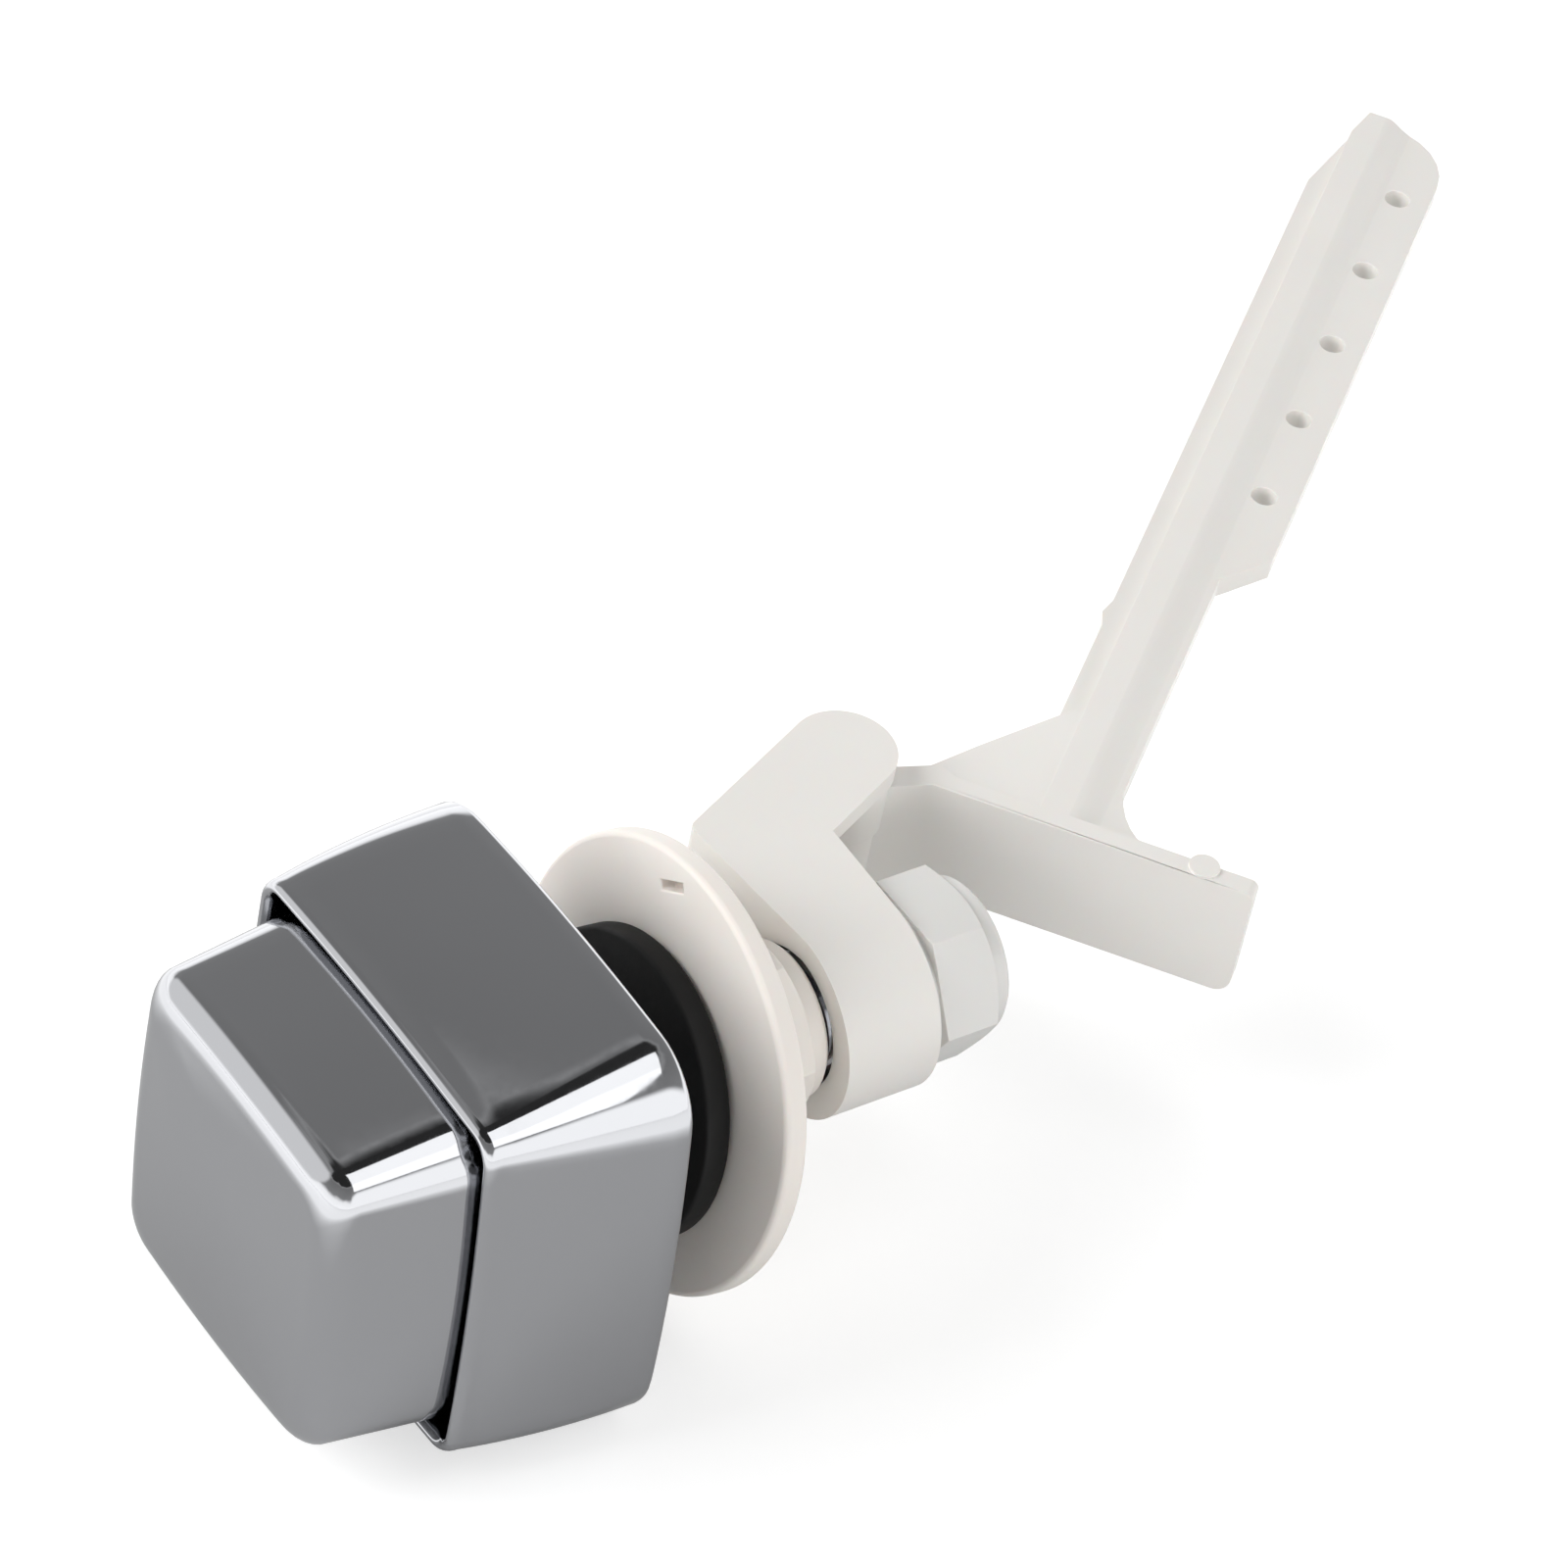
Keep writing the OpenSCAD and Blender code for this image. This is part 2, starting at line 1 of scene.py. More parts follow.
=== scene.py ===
from math import cos, sin, pi, radians, sqrt, atan2
import bmesh
import bpy
from mathutils import Matrix, Vector


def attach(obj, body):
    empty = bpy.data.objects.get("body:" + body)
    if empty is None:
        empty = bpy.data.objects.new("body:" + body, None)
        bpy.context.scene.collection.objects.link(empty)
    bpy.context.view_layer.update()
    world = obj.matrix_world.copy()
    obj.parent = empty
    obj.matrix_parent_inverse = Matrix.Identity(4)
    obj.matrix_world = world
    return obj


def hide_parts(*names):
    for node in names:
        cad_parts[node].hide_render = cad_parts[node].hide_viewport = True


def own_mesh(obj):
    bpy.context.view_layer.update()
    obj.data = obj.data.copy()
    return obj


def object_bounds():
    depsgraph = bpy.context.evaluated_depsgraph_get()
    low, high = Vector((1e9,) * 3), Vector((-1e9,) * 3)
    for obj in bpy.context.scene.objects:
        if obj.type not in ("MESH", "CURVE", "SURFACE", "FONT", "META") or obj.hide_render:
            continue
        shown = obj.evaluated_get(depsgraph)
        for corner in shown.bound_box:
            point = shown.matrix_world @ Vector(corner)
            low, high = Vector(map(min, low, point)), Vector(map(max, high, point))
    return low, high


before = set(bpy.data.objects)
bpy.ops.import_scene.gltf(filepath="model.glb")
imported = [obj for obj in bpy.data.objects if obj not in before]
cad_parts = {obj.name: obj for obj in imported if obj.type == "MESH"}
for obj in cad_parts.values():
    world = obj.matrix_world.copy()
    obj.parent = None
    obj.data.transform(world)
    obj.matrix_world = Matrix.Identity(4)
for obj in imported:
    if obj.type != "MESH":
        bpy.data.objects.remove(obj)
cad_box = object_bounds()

# Camera: a long lens from high on the front right, a little rolled, as in the photograph. Sizes
# in this script are in millimetres, and MM turns them to Blender's metres.
MM = 0.001
scene = bpy.context.scene
camera_place = Vector((443.42, -337.66, 532.12)) * MM
camera_right = Vector((0.538968, 0.832926, 0.125493)).normalized()
camera_back = Vector((0.584579, -0.477136, 0.656208)).normalized()
camera_up = camera_back.cross(camera_right)
focal_px = 7695.05
photo_px = 1600
sensor_w = 36
lens = bpy.data.cameras.new("camera")
lens.sensor_width = sensor_w
lens.lens = sensor_w * focal_px / photo_px
lens.clip_start = 0.01
lens.clip_end = 20
camera = bpy.data.objects.new("camera", lens)
stance = Matrix((camera_right, camera_up, camera_back)).transposed()
camera.matrix_world = Matrix.Translation(camera_place) @ stance.to_4x4()
scene.collection.objects.link(camera)
scene.camera = camera


# Floor: a sheet of white paper just under the object. It shows as white to the camera and keeps
# the object's shadow. In the chrome it is grey close by and white further out.
def srgb(text):
    """Turns an sRGB hex value to a linear colour."""
    parts = [int(text[i:i + 2], 16) / 255 for i in (1, 3, 5)]
    return tuple(p / 12.92 if p <= 0.04045 else ((p + 0.055) / 1.055) ** 2.4 for p in parts) + (1,)


def add(tree, kind, settings=None, links=None):
    """Adds a node, sets its sockets or its own properties, and links its inputs."""
    node = tree.nodes.new(kind)
    for key, value in (settings or {}).items():
        if isinstance(key, int) or key in node.inputs:
            node.inputs[key].default_value = value
        else:
            setattr(node, key, value)
    for key, source in (links or {}).items():
        tree.links.new(source, node.inputs[key])
    return node


def new_material(name):
    """Starts a material with an empty node tree."""
    material = bpy.data.materials.new(name)
    material.use_nodes = True
    material.node_tree.nodes.clear()
    return material, material.node_tree


floor_gap = 0.1
floor_half_m = 3
floor_z = cad_box[0][2] - floor_gap * MM
bm = bmesh.new()
bmesh.ops.create_grid(bm, x_segments=1, y_segments=1, size=floor_half_m,
                      matrix=Matrix.Translation((0, 0, floor_z)))
mesh = bpy.data.meshes.new("floor")
bm.to_mesh(mesh)
bm.free()
floor = bpy.data.objects.new("floor", mesh)
scene.collection.objects.link(floor)

# Matt white paper: an even pale grey under the light, lifted to white where the camera sees it.
paper_lift = 0.55
grey_within, white_beyond = 85 * MM, 140 * MM
paper, tree = new_material("white_paper_sweep")
rays = add(tree, "ShaderNodeLightPath")
where = add(tree, "ShaderNodeTexCoord")
span = add(tree, "ShaderNodeVectorMath", {"operation": "LENGTH"}, {0: where.outputs["Object"]})
far = add(tree, "ShaderNodeMapRange", {"From Min": grey_within, "From Max": white_beyond},
          {"Value": span.outputs["Value"]})
mirrored = add(tree, "ShaderNodeMath", {"operation": "MAXIMUM"},
               {0: rays.outputs["Is Glossy Ray"], 1: rays.outputs["Is Transmission Ray"]})
mirrored = add(tree, "ShaderNodeMath", {"operation": "MULTIPLY"},
               {0: mirrored.outputs[0], 1: far.outputs["Result"]})
seen = add(tree, "ShaderNodeMath", {"operation": "MULTIPLY", 1: paper_lift},
           {0: rays.outputs["Is Camera Ray"]})
lift = add(tree, "ShaderNodeMath", {"operation": "ADD"}, {0: seen.outputs[0], 1: mirrored.outputs[0]})
glow = add(tree, "ShaderNodeEmission", {"Color": srgb("#FFFFFF")}, {"Strength": lift.outputs[0]})
sheet = add(tree, "ShaderNodeBsdfDiffuse", {"Color": srgb("#CFCFCF")})
both = add(tree, "ShaderNodeAddShader", None, {0: glow.outputs[0], 1: sheet.outputs[0]})
add(tree, "ShaderNodeOutputMaterial", None, {"Surface": both.outputs[0]})
floor.data.materials.append(paper)

# Room: bright low down, grey above that and black overhead, with a slow waver in the edges
# between. A pale panel stands front left and a brighter one right, for the chrome to mirror.
COLOUR_A, COLOUR_B, COLOUR_OUT = 6, 7, 2
room_strength = 1.9
waver = 0.05
black_overhead = 0.02
room_levels = ((0.26, 0.9), (0.42, 0.2), (0.82, 0.15), (0.85, 0.24), (0.88, black_overhead))
panels = (((-0.62, -0.6, 0.5), 0.6), ((0.93, 0.3, 0.2), 0.95))
world = bpy.data.worlds.new("room")
scene.world = world
world.use_nodes = True
tree = world.node_tree
tree.nodes.clear()
rays = add(tree, "ShaderNodeLightPath")
where = add(tree, "ShaderNodeTexCoord")
clutter = add(tree, "ShaderNodeTexNoise", {"Scale": 2.6, "Detail": 2.0},
              {"Vector": where.outputs["Generated"]})
shift = add(tree, "ShaderNodeMapRange",
            {"From Min": 0.3, "From Max": 0.7, "To Min": -waver, "To Max": waver},
            {"Value": clutter.outputs["Fac"]})
height = add(tree, "ShaderNodeSeparateXYZ", None, {"Vector": where.outputs["Generated"]})
height = add(tree, "ShaderNodeMath", {"operation": "ADD"},
             {0: height.outputs["Z"], 1: shift.outputs["Result"]})
levels = add(tree, "ShaderNodeValToRGB", None, {"Fac": height.outputs[0]})
stops = levels.color_ramp.elements
stops[0].color = (1, 1, 1, 1)
stops[1].color = (black_overhead, black_overhead, black_overhead, 1)
for position, level in room_levels:
    stops.new(position).color = (level, level, level, 1)
shade = levels.outputs["Color"]
for toward, level in panels:
    facing = add(tree, "ShaderNodeVectorMath", {"operation": "DOT_PRODUCT", 1: toward},
                 {0: where.outputs["Generated"]})
    panel = add(tree, "ShaderNodeMapRange",
                {"interpolation_type": "SMOOTHSTEP", "From Min": 0.86, "From Max": 0.93},
                {"Value": facing.outputs["Value"]})
    mix = add(tree, "ShaderNodeMix", {"data_type": "RGBA", COLOUR_B: (level, level, level, 1)},
              {"Factor": panel.outputs["Result"], COLOUR_A: shade})
    shade = mix.outputs[COLOUR_OUT]
room = add(tree, "ShaderNodeBackground", {"Strength": room_strength}, {"Color": shade})
white = add(tree, "ShaderNodeBackground", {"Color": srgb("#FFFFFF"), "Strength": 1.0})
mixed = add(tree, "ShaderNodeMixShader", None,
            {0: rays.outputs["Is Camera Ray"], 1: room.outputs[0], 2: white.outputs[0]})
add(tree, "ShaderNodeOutputWorld", None, {"Surface": mixed.outputs[0]})


# Lamps: a soft square key from the front, and a long box that shines straight down from the
# right. The box is the white wedge in the chrome, and the key isn't mirrored.
def lamp(name, place, aim, size, power):
    """Hangs a rectangular lamp at a place and turns it to what it is aimed at, in metres."""
    data = bpy.data.lights.new(name, "AREA")
    data.shape = "RECTANGLE"
    data.size, data.size_y = size
    data.energy = power
    item = bpy.data.objects.new(name, data)
    toward = Vector(aim) - Vector(place)
    item.matrix_world = Matrix.Translation(place) @ toward.to_track_quat("-Z", "Y").to_matrix().to_4x4()
    scene.collection.objects.link(item)
    return item


key = lamp("key_front", place=(-0.35, -0.85, 0.7), aim=(0, 0.05, 0), size=(0.7, 0.7), power=8.4)
key.visible_glossy = False
lamp("box_overhead", place=(0.5, 0.28, 1.0), aim=(0.5, 0.28, 0), size=(1.16, 0.4), power=2.7)
scene.view_settings.view_transform = "Standard"

# Housing: a moulded square sleeve with a rolled lip, plated bright. Its sides flare to the rear
# and bow slightly outwards, and its rear wall carries the hollow shank.
loop_points = 120
quarter = loop_points // 4
corner_steps = 10


def first_loop(bm):
    """Starts a piece with a closed loop of vertices."""
    return bmesh.ops.create_circle(bm, segments=loop_points, radius=MM)["verts"]


def loop_edges(ring):
    """Gives the edges of a closed loop, in its order."""
    return [next(e for e in v.link_edges if e.other_vert(v) is w)
            for v, w in zip(ring, ring[1:] + ring[:1])]


def next_loop(bm, ring):
    """Extrudes a closed loop once and gives the new loop in the same order."""
    made = bmesh.ops.extrude_edge_only(bm, edges=loop_edges(ring))["geom"]
    fresh = set(g for g in made if isinstance(g, bmesh.types.BMVert))
    return [next(e.other_vert(v) for e in v.link_edges if e.other_vert(v) in fresh) for v in ring]


def loop_place(ring, y, half, corner, crown):
    """Lays a closed loop on a square of bowed sides and round corners, at depth y."""
    run = half - corner
    side_r = (run * run + crown * crown) / (2 * crown)
    side_back = side_r - half
    centre = (-side_back + sqrt(2 * (side_r - corner) ** 2 - side_back * side_back)) / 2
    start = atan2(centre, centre + side_back)
    for i, v in enumerate(ring):
        q, k = divmod(i, quarter)
        if k <= corner_steps:
            b = start + (pi / 2 - 2 * start) * k / corner_steps
            px = centre + corner * cos(b)
            pz = centre + corner * sin(b)
        else:
            b = pi / 2 - start + 2 * start * (k - corner_steps) / (quarter - corner_steps)
            px = side_r * cos(b)
            pz = side_r * sin(b) - side_back
        a = q * pi / 2
        v.co = Vector((px * cos(a) - pz * sin(a), y, px * sin(a) + pz * cos(a))) * MM


def round_place(ring, y, radius):
    """Lays a closed loop on a circle, its quarters in step with loop_place."""
    start = pi / 4 - pi / 2 * (corner_steps / 2) / quarter
    for i, v in enumerate(ring):
        a = start + 2 * pi * i / loop_points
        v.co = Vector((radius * cos(a), y, radius * sin(a))) * MM


def finish_piece(bm, name, body, material, stands_for=(), crease=35):
    """Makes the piece's object, smooth but for its creases, and puts it on its body."""
    bmesh.ops.recalc_face_normals(bm, faces=bm.faces)
    mesh = bpy.data.meshes.new(name)
    bm.to_mesh(mesh)
    bm.free()
    mesh.polygons.foreach_set("use_smooth", [True] * len(mesh.polygons))
    mesh.set_sharp_from_angle(angle=radians(crease))
    piece = bpy.data.objects.new(name, mesh)
    scene.collection.objects.link(piece)
    mesh.materials.append(material)
    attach(piece, body)
    if stands_for:
        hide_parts(*stands_for)
    return piece


def grain_of(size):
    """Gives the scale at which a noise has grains of this size."""
    return 1 / (size * MM)


# Bright chromium over a moulded body: a grey mirror, with a faint ripple from the moulding and
# a very slight haze.
ripple_size, ripple_depth = 11.1, 0.4
haze_size = 1.43
chrome, tree = new_material("chromium_plated_moulding")
where = add(tree, "ShaderNodeTexCoord")
ripple = add(tree, "ShaderNodeTexNoise", {"Scale": grain_of(ripple_size), "Detail": 2.0, "Roughness": 0.4},
             {"Vector": where.outputs["Object"]})
haze = add(tree, "ShaderNodeTexNoise", {"Scale": grain_of(haze_size), "Detail": 4.0, "Roughness": 0.6},
           {"Vector": where.outputs["Object"]})
gloss = add(tree, "ShaderNodeMapRange", {"From Min": 0.3, "From Max": 0.7, "To Min": 0.05, "To Max": 0.11},
            {"Value": haze.outputs["Fac"]})
bump = add(tree, "ShaderNodeBump", {"Strength": 0.12, "Distance": ripple_depth * MM},
           {"Height": ripple.outputs["Fac"]})
metal = add(tree, "ShaderNodeBsdfPrincipled", {"Base Color": srgb("#B8B9BC"), "Metallic": 1.0},
            {"Roughness": gloss.outputs["Result"], "Normal": bump.outputs["Normal"]})
add(tree, "ShaderNodeOutputMaterial", None, {"Surface": metal.outputs[0]})

# Sizes of the sleeve, across half of it and along it.
mouth_half, mouth_corner = 23.0, 3.4
rear_half, rear_corner = 25.8, 8.3
cavity_half, cavity_corner, cavity_draft = 21.5, 2.4, 0.2
housing_d = 22.5
side_crown = 0.6
flare_bow = 0.45
lip_r, lip_l = 0.75, 1.6
rear_edge_r = 0.8
flare_steps = 12

# Sizes of the shank and of the bores in it, for the bush and the rod.
shank_r, shank_l, shank_edge = 7, 49.4, 0.3
thread_h, neck_l = 0.6, 5
bush_r, bush_end = 5.2, 8
rod_bore_r = 3.55

bm = bmesh.new()
ring = first_loop(bm)
lip_y = lip_l - housing_d
floor_y = -3
loop_place(ring, floor_y, cavity_half - cavity_draft, cavity_corner, side_crown)
cavity_foot = ring
ring = next_loop(bm, ring)
loop_place(ring, lip_y, cavity_half, cavity_corner, side_crown)
for a in range(15, 181, 15):
    ring = next_loop(bm, ring)
    t = (1 - cos(radians(a))) / 2
    loop_place(ring, lip_y - lip_l * sin(radians(a)), cavity_half + 2 * lip_r * t,
               cavity_corner + (mouth_corner - cavity_corner) * t, side_crown)
for i in range(1, flare_steps + 1):
    ring = next_loop(bm, ring)
    t = i / flare_steps
    loop_place(ring, lip_y + (-rear_edge_r - lip_y) * t,
               mouth_half + (rear_half - mouth_half) * (t + flare_bow * t * (1 - t)),
               mouth_corner + (rear_corner - mouth_corner) * t, side_crown)
for a in (30, 60, 90):
    ring = next_loop(bm, ring)
    r = rear_edge_r * (1 - cos(radians(a)))
    loop_place(ring, -rear_edge_r * (1 - sin(radians(a))), rear_half - r, rear_corner - r, side_crown)
thread_root = shank_r - thread_h
for y, r in ((0, shank_r), (neck_l, shank_r), (neck_l + thread_h, thread_root),
             (shank_l - shank_edge, thread_root), (shank_l, thread_root - shank_edge),
             (shank_l, rod_bore_r), (bush_end, rod_bore_r), (bush_end, bush_r), (floor_y, bush_r)):
    ring = next_loop(bm, ring)
    round_place(ring, y, r)
bmesh.ops.bridge_loops(bm, edges=loop_edges(ring) + loop_edges(cavity_foot))
finish_piece(bm, "housing_shell", "body", chrome, ("housing",))

# Thread of the shank: one moulded and plated ridge, wound along the shank from its neck to its
# end. It is made apart and sinks a little into the shank's root.
pitch = 1.5
turn_steps = 48
thread_start, thread_end = neck_l + 0.9, shank_l - 1.2
ridge_sink, ridge_foot, ridge_crest = 0.2, 0.72, 0.1
turns = int((thread_end - thread_start) / pitch)
section = [(thread_root - ridge_sink, -ridge_foot), (shank_r, -ridge_crest),
           (shank_r, ridge_crest), (thread_root - ridge_sink, ridge_foot)]
bm = bmesh.new()
face = bm.faces.new([bm.verts.new(Vector((r, thread_start + y, 0)) * MM) for r, y in section])
bmesh.ops.spin(bm, geom=[face], cent=(0, 0, 0), axis=(0, 1, 0), dvec=(0, pitch * MM / turn_steps, 0),
               angle=2 * pi * turns, steps=turns * turn_steps, use_merge=False, use_duplicate=False)
finish_piece(bm, "shank_thread", "body", chrome)


# Guide bush: an acetal bush with a flange, moulded grey and pushed into the floor of the housing
# from the front. The spring sits on its flange and the rod slides in its bore.
def turned(name, profile, body, material, stands_for, steps=96, edge=0.0, placed=None):
    """Spins a closed profile of (radius, y) points about the push axis, and rounds its rims."""
    bm = bmesh.new()
    points = [bm.verts.new(Vector((r, y, 0)) * MM) for r, y in profile]
    edges = [bm.edges.new((points[i - 1], points[i])) for i in range(len(points))
             if profile[i - 1][0] or profile[i][0]]
    bmesh.ops.spin(bm, geom=points + edges, cent=(0, 0, 0), axis=(0, 1, 0), angle=2 * pi, steps=steps,
                   use_merge=True, use_duplicate=False)
    bmesh.ops.remove_doubles(bm, verts=bm.verts, dist=1e-7)
    if placed:
        bmesh.ops.transform(bm, matrix=placed, verts=bm.verts)
    if edge:
        rims = [e for e in bm.edges if len(e.link_faces) == 2 and e.calc_face_angle(0) > radians(30)]
        bmesh.ops.bevel(bm, geom=rims, offset=edge * MM, offset_type="OFFSET", segments=3, profile=0.5,
                        affect="EDGES", material=-1, clamp_overlap=True)
    return finish_piece(bm, name, body, material, stands_for)


def moulded_plastic(name, colour, dark, rough):
    """Moulded plastic: an even satin skin with a fine grain, and a slow change of tint and gloss.
    The grain is drawn coarser than the real one, so that it shows in the render."""
    tint_size, flow_size = 25, 8.33
    grain_size, grain_depth = 0.5, 0.01
    material, tree = new_material(name)
    where = add(tree, "ShaderNodeTexCoord")
    cloud = add(tree, "ShaderNodeTexNoise", {"Scale": grain_of(tint_size), "Detail": 3.0, "Roughness": 0.5},
                {"Vector": where.outputs["Object"]})
    tint = add(tree, "ShaderNodeMix", {"data_type": "RGBA", COLOUR_A: srgb(dark), COLOUR_B: srgb(colour)},
               {"Factor": cloud.outputs["Fac"]})
    grain = add(tree, "ShaderNodeTexNoise", {"Scale": grain_of(grain_size), "Detail": 3.0, "Roughness": 0.6},
                {"Vector": where.outputs["Object"]})
    flow = add(tree, "ShaderNodeTexNoise", {"Scale": grain_of(flow_size), "Detail": 2.0, "Roughness": 0.5},
               {"Vector": where.outputs["Object"]})
    gloss = add(tree, "ShaderNodeMapRange",
                {"From Min": 0.3, "From Max": 0.7, "To Min": rough - 0.06, "To Max": rough + 0.08},
                {"Value": flow.outputs["Fac"]})
    bump = add(tree, "ShaderNodeBump", {"Strength": 0.35, "Distance": grain_depth * MM},
               {"Height": grain.outputs["Fac"]})
    skin = add(tree, "ShaderNodeBsdfPrincipled",
               {"IOR": 1.48, "Subsurface Weight": 0.12, "Subsurface Scale": 1 * MM},
               {"Base Color": tint.outputs[COLOUR_OUT], "Roughness": gloss.outputs["Result"],
                "Normal": bump.outputs["Normal"]})
    add(tree, "ShaderNodeOutputMaterial", None, {"Surface": skin.outputs[0]})
    return material


grey_acetal = moulded_plastic("grey_moulded_acetal", "#6A6B6C", "#5E5F61", 0.4)
bush_flange_r, bush_flange_t = 8.6, 1.4
flange_y = floor_y - bush_flange_t
turned("bush", [(rod_bore_r, flange_y), (bush_flange_r, flange_y), (bush_flange_r, floor_y),
                (bush_r, floor_y), (bush_r, bush_end), (rod_bore_r, bush_end)],
       "body", grey_acetal, ("guide_bush",), edge=0.2)

# Return spring: steel wire coiled round the rod, between the bush's flange and the button. The real spring
# shortens towards the bush as the button goes in; the coil here keeps one length.

# Drawn spring wire: a dull grey metal with fine streaks in its gloss.
wire_streak = 0.4
wire, tree = new_material("drawn_spring_wire")
where = add(tree, "ShaderNodeTexCoord")
draw = add(tree, "ShaderNodeTexNoise", {"Scale": grain_of(wire_streak), "Detail": 2.0},
           {"Vector": where.outputs["Object"]})
gloss = add(tree, "ShaderNodeMapRange", {"From Min": 0.3, "From Max": 0.7, "To Min": 0.24, "To Max": 0.4},
            {"Value": draw.outputs["Fac"]})
metal = add(tree, "ShaderNodeBsdfPrincipled", {"Base Color": srgb("#A9AAAB"), "Metallic": 1.0},
            {"Roughness": gloss.outputs["Result"]})
add(tree, "ShaderNodeOutputMaterial", None, {"Surface": metal.outputs[0]})

spring_y0, spring_y1 = -35.2, -5.0
coil_r, wire_r = 6.9, 0.6
coil_turns, coil_steps = 8, 40
coil_rise = (spring_y1 - spring_y0) * MM / (coil_turns * coil_steps)
bm = bmesh.new()
bmesh.ops.create_circle(bm, cap_ends=True, segments=10, radius=wire_r * MM,
                        matrix=Matrix.Translation((coil_r * MM, spring_y0 * MM, 0)))
bmesh.ops.spin(bm, geom=bm.faces[:], cent=(0, 0, 0), axis=(0, 1, 0), dvec=(0, coil_rise, 0),
               angle=2 * pi * coil_turns, steps=coil_turns * coil_steps, use_merge=False,
               use_duplicate=False)
spring = finish_piece(bm, "spring_coil", "body", wire, ("return_spring",))
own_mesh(spring)

# Push rod: drawn steel, turned with a groove for its clip and a rounded nose. Its front end is
# pressed into the button's boss, and its nose faces the lever's paddle.

# Bright drawn steel: a soft shine with fine lines along the rod.
line_w, line_l, line_depth = 0.333, 6.67, 0.01
steel, tree = new_material("bright_drawn_steel")
where = add(tree, "ShaderNodeTexCoord")
stretch = add(tree, "ShaderNodeMapping", {"Scale": (grain_of(line_w), grain_of(line_l), grain_of(line_w))},
              {"Vector": where.outputs["Object"]})
draw = add(tree, "ShaderNodeTexNoise", {"Scale": 1.0, "Detail": 3.0}, {"Vector": stretch.outputs["Vector"]})
gloss = add(tree, "ShaderNodeMapRange", {"From Min": 0.3, "From Max": 0.7, "To Min": 0.2, "To Max": 0.34},
            {"Value": draw.outputs["Fac"]})
bump = add(tree, "ShaderNodeBump", {"Strength": 0.2, "Distance": line_depth * MM},
           {"Height": draw.outputs["Fac"]})
metal = add(tree, "ShaderNodeBsdfPrincipled", {"Base Color": srgb("#B9BABC"), "Metallic": 1.0},
            {"Roughness": gloss.outputs["Result"], "Normal": bump.outputs["Normal"]})
add(tree, "ShaderNodeOutputMaterial", None, {"Surface": metal.outputs[0]})

rod_r, rod_start, rod_end, nose_r = 3.5, -34.8, 53.3, 1
groove_r, groove_y, groove_l = 2.8, 49.7, 1
nose = [(rod_r - nose_r + nose_r * cos(radians(a)), rod_end - nose_r + nose_r * sin(radians(a)))
        for a in range(0, 91, 15)]
turned("rod", [(0, rod_start), (rod_r, rod_start), (rod_r, groove_y), (groove_r, groove_y),
               (groove_r, groove_y + groove_l), (rod_r, groove_y + groove_l)] + nose + [(0, rod_end)],
       "button", steel, ("push_rod",))


# Rod clip: a flat clip of spring steel, snapped into the rod's groove behind the shank. It stops
# the spring from pushing the button out of the housing.
def softened(name, node, body, material, radius):
    """Copies a CAD node, merged to whole faces, and rounds its edges as moulding leaves them."""
    crease = radians(32)
    bm = bmesh.new()
    bm.from_mesh(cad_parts[node].data)
    bmesh.ops.remove_doubles(bm, verts=bm.verts, dist=2e-6)
    bmesh.ops.dissolve_limit(bm, angle_limit=radians(1), verts=bm.verts, edges=bm.edges,
                             use_dissolve_boundaries=False, delimit=set())
    mesh = bpy.data.meshes.new(name)
    bm.to_mesh(mesh)
    bm.free()
    mesh.polygons.foreach_set("use_smooth", [True] * len(mesh.polygons))
    mesh.set_sharp_from_angle(angle=crease)
    piece = bpy.data.objects.new(name, mesh)
    scene.collection.objects.link(piece)
    mesh.materials.clear()
    mesh.materials.append(material)
    edge = piece.modifiers.new("edge", "BEVEL")
    edge.affect = "EDGES"
    edge.width = radius * MM
    edge.segments = 3
    edge.profile = 0.5
    edge.material = -1
    edge.limit_method = "ANGLE"
    edge.angle_limit = crease
    edge.harden_normals = False
    edge.use_clamp_overlap = True
    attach(piece, body)
    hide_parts(node)
    return piece


softened("clip", "rod_clip", "button", wire, 0.15)

# Push button: a square moulded cap with a bowed face and a rounded edge, plated bright, on a
# skirt that slides inside the housing. A boss in its middle holds the rod.
button_half, button_corner = 19.0, 3.4
button_rear_half, skirt_corner = 20.9, 5.5
button_proud, button_edge_r, button_wall = 15.5, 3.6, 1.6
face_crown, face_t = 0.86, 2.2
boss_r, boss_l = 5.4, 9
skirt_y = -12.6
front_y = -housing_d - button_proud
ceiling_y = front_y + face_t
edge_y = front_y + button_edge_r
least_corner = 1
side_steps, face_steps = 8, 14


def button_loop(ring, y, inset):
    """Lays a closed loop on the button's side at depth y, or inside it by the inset."""
    t = min((y - front_y) / button_proud, 1)
    loop_place(ring, y, button_half + (button_rear_half - button_half) * t - inset,
               max(button_corner + (skirt_corner - button_corner) * t - inset, least_corner), side_crown)


bm = bmesh.new()
ring = first_loop(bm)
round_place(ring, rod_start, rod_r)
rod_seat = ring
for y, r in ((ceiling_y + boss_l, rod_r), (ceiling_y + boss_l, boss_r), (ceiling_y, boss_r)):
    ring = next_loop(bm, ring)
    round_place(ring, y, r)
for y in (ceiling_y, -housing_d, skirt_y):
    ring = next_loop(bm, ring)
    button_loop(ring, y, button_wall)
ring = next_loop(bm, ring)
button_loop(ring, skirt_y, 0)
for i in range(side_steps + 1):
    ring = next_loop(bm, ring)
    button_loop(ring, -housing_d + (edge_y + housing_d) * i / side_steps, 0)
along = (edge_y - front_y) / button_proud
edge_half = button_half + (button_rear_half - button_half) * along
edge_corner = button_corner + (skirt_corner - button_corner) * along
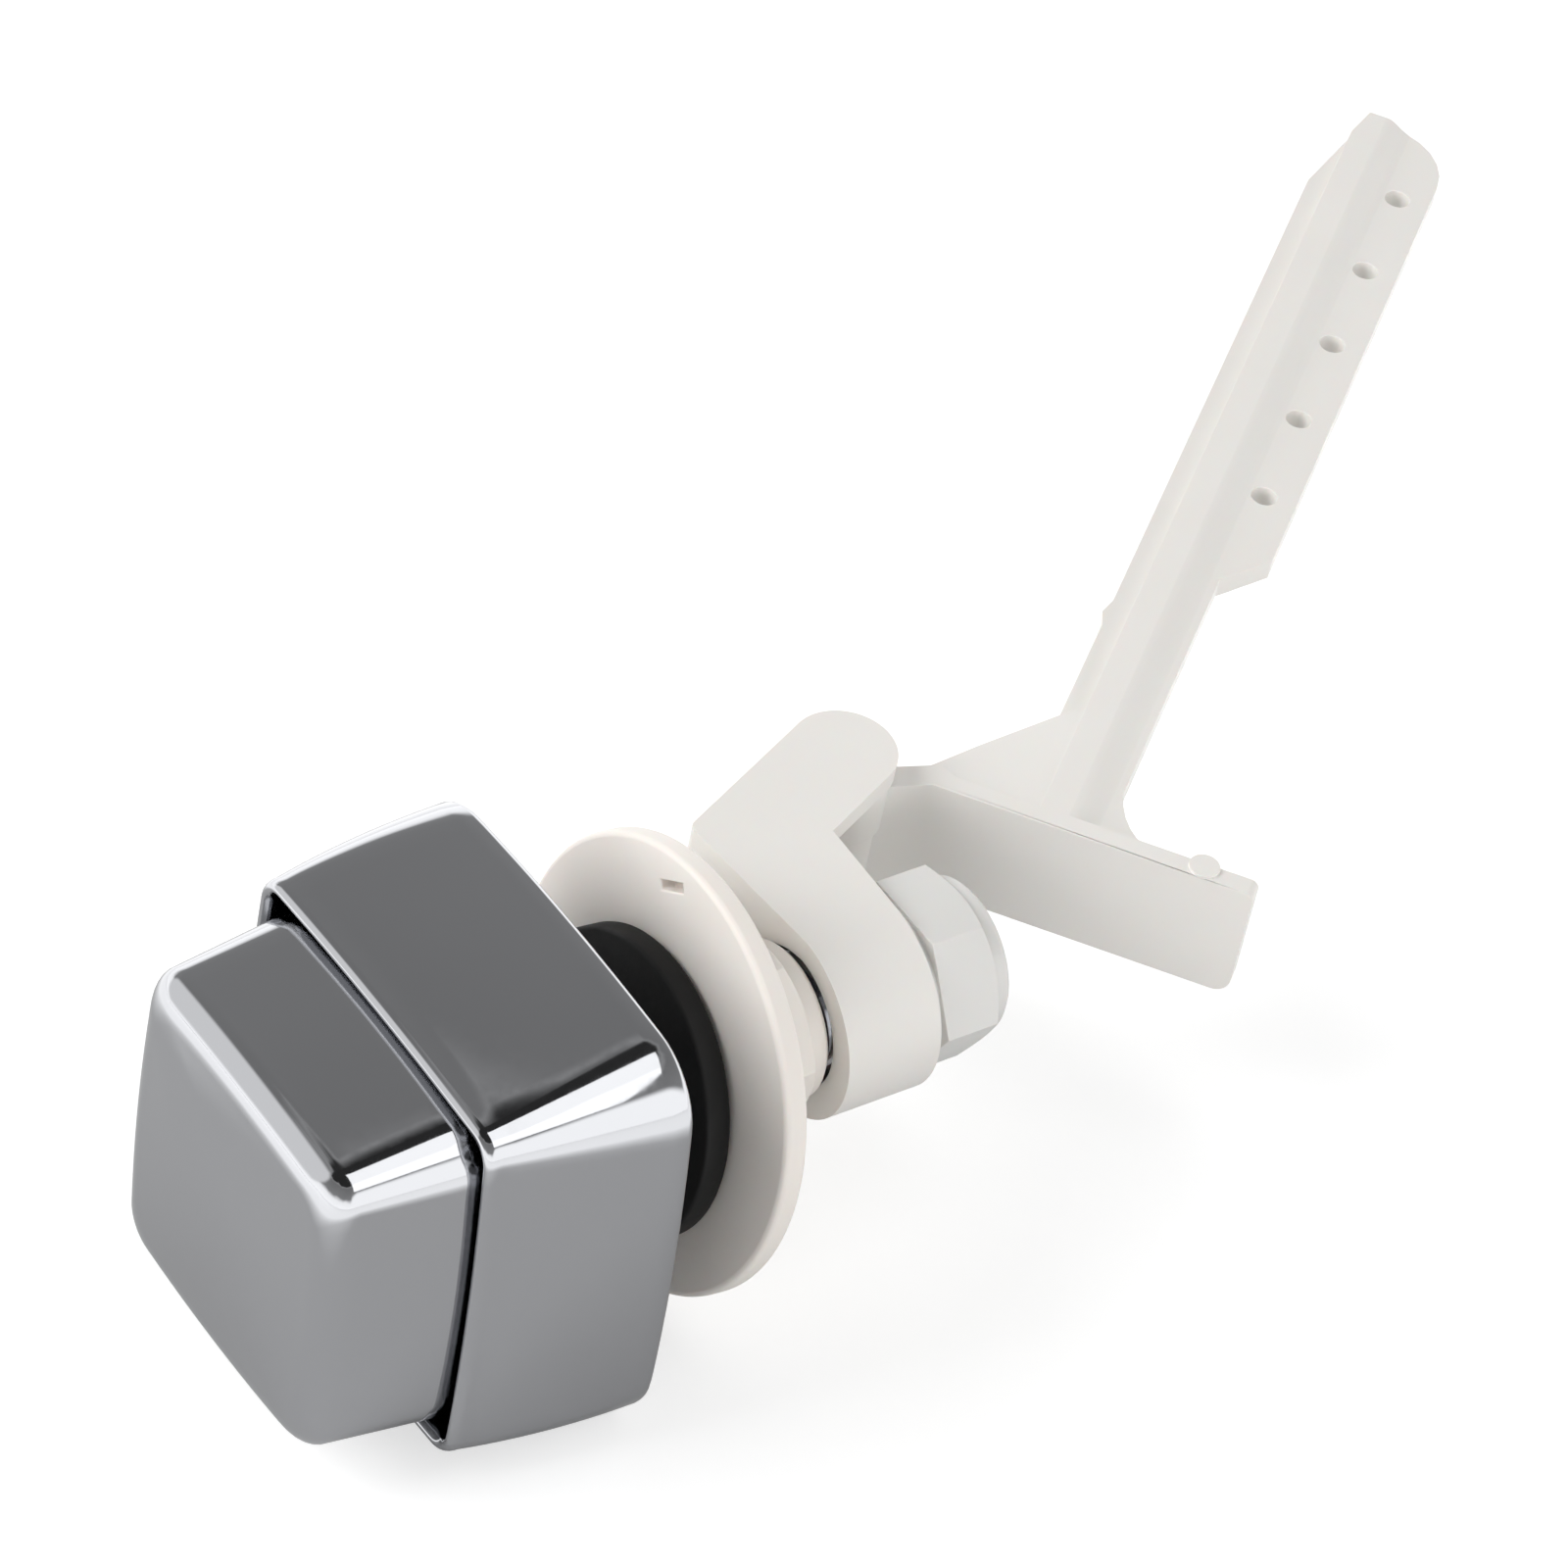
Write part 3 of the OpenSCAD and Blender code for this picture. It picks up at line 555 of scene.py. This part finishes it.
for a in range(10, 91, 10):
    ring = next_loop(bm, ring)
    loop_place(ring, edge_y - button_edge_r * sin(radians(a)),
               edge_half - button_edge_r * (1 - cos(radians(a))), edge_corner, side_crown)
face_half = edge_half - button_edge_r
round_share = 0.9
for i in range(1, face_steps):
    ring = next_loop(bm, ring)
    s = 1 - i / face_steps
    corner = face_half * s * (round_share + (edge_corner / face_half - round_share) * s * s)
    bow = side_crown * ((face_half * s - corner) / (face_half - edge_corner)) ** 2
    loop_place(ring, front_y - face_crown * (1 - s * s), face_half * s, corner, bow)
for hole in (ring, rod_seat):
    bmesh.ops.contextual_create(bm, geom=loop_edges(hole))
finish_piece(bm, "button_cap", "button", chrome, ("push_button",), crease=50)

# Gasket: a flat ring moulded from black rubber, slid on the shank to seal the hole in the
# cistern wall. It hangs loose on the shank, and its top leans to the rear.

# Black rubber: nearly black and matt, with a fine rough grain and patches of grey bloom.
rubber_grain, grain_depth, bloom_size = 0.556, 0.04, 6.25
rubber, tree = new_material("moulded_black_rubber")
where = add(tree, "ShaderNodeTexCoord")
grain = add(tree, "ShaderNodeTexNoise", {"Scale": grain_of(rubber_grain), "Detail": 5.0, "Roughness": 0.65},
            {"Vector": where.outputs["Object"]})
bloom = add(tree, "ShaderNodeTexNoise", {"Scale": grain_of(bloom_size), "Detail": 4.0},
            {"Vector": where.outputs["Object"]})
tint = add(tree, "ShaderNodeMix",
           {"data_type": "RGBA", COLOUR_A: srgb("#0E0E0E"), COLOUR_B: srgb("#1F1F1F")},
           {"Factor": bloom.outputs["Fac"]})
gloss = add(tree, "ShaderNodeMapRange", {"From Min": 0.3, "From Max": 0.7, "To Min": 0.5, "To Max": 0.75},
            {"Value": bloom.outputs["Fac"]})
bump = add(tree, "ShaderNodeBump", {"Strength": 0.5, "Distance": grain_depth * MM},
           {"Height": grain.outputs["Fac"]})
skin = add(tree, "ShaderNodeBsdfPrincipled", {"IOR": 1.5, "Specular IOR Level": 0.25},
           {"Base Color": tint.outputs[COLOUR_OUT], "Roughness": gloss.outputs["Result"],
            "Normal": bump.outputs["Normal"]})
add(tree, "ShaderNodeOutputMaterial", None, {"Surface": skin.outputs[0]})

gasket_r, gasket_bore_r, gasket_t = 16.6, 8.6, 3
gasket_y, gasket_drop, gasket_lean = 8.6, 1.2, radians(8)
lean = Matrix.Translation((0, gasket_y * MM, -gasket_drop * MM)) @ Matrix.Rotation(-gasket_lean, 4, "X")
turned("gasket", [(gasket_bore_r, 0), (gasket_r, 0), (gasket_r, gasket_t), (gasket_bore_r, gasket_t)],
       "body", rubber, ("rubber_gasket",), edge=0.45, steps=128, placed=lean)

# Flange washer and lock nut: both moulded from polypropylene in the same warm white, and slid
# and screwed on the shank to clamp the cistern wall. The washer has a small slot near its rim.
ivory = moulded_plastic("ivory_moulded_polypropylene", "#EFEAE4", "#E9E3DC", 0.42)
softened("washer", "flange_washer", "body", ivory, 0.25)
softened("nut_front", "lock_nut", "body", ivory, 0.3)

# Bracket: a ring with two ears, moulded in one from white acetal. It is slid on the shank, held
# by the rear nut, and carries the lever between its ears.
white_moulding = moulded_plastic("white_moulded_acetal", "#EDEBE7", "#E7E4DF", 0.4)
softened("bracket_moulding", "bracket", "body", white_moulding, 0.35)

# Rear nut: a hexagon nut with a collar, moulded from nylon of a slightly greyer white, and
# screwed on the shank against the bracket.
cool_white = moulded_plastic("cool_white_moulded_nylon", "#E4E3E0", "#DCDBD8", 0.38)
softened("nut_rear", "rear_nut", "body", cool_white, 0.3)

# Lever: hub, paddle, web and a ribbed arm with five chain holes, moulded in one from the same
# acetal as the bracket. It swings on the pivot pin.
softened("lever_moulding", "lever", "lever", white_moulding, 0.3)

# Pivot pin: bright drawn steel with a flat head, pushed up through the lower ear and the hub
# into the upper ear.
softened("pin", "pivot_pin", "body", steel, 0.15)
